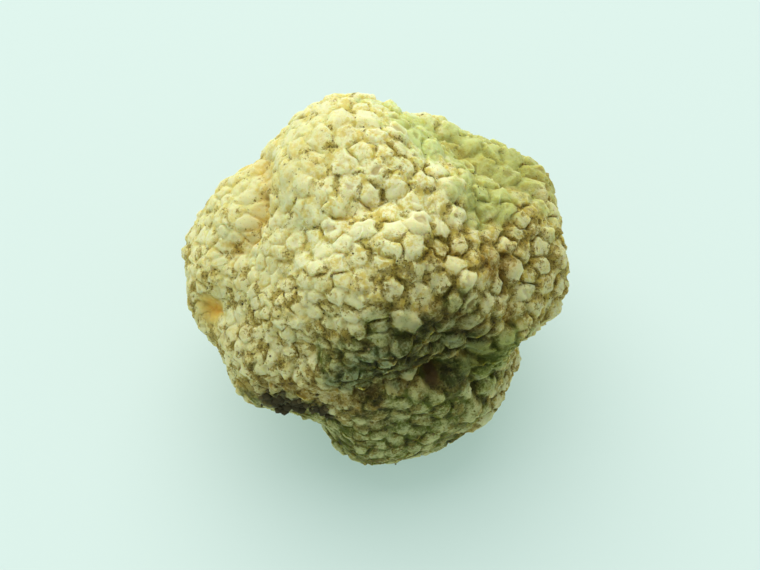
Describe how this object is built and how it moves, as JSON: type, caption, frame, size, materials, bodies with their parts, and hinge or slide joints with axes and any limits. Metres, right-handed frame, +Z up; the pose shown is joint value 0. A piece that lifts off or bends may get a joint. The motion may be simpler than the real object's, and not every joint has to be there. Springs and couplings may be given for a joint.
{
  "type": "white truffle",
  "caption": "Whole fresh truffle with a knobbly, furrowed body, a warty cream skin and a small flat spot to rest on.",
  "frame": {"origin": "middle of the small flat spot on the underside that the truffle rests on", "axes": "+Z up, away from the surface it rests on; +X along its greatest width; -Y towards its front, with the deep furrow"},
  "size_m": [0.0458, 0.0397, 0.0397],
  "materials": {
    "skin": "matte, warty cream-yellow skin with olive-brown soil in its grooves, dark specks and greenish patches"
  },
  "bodies": {
    "root": {"truffle": "skin"}
  },
  "joints": []
}
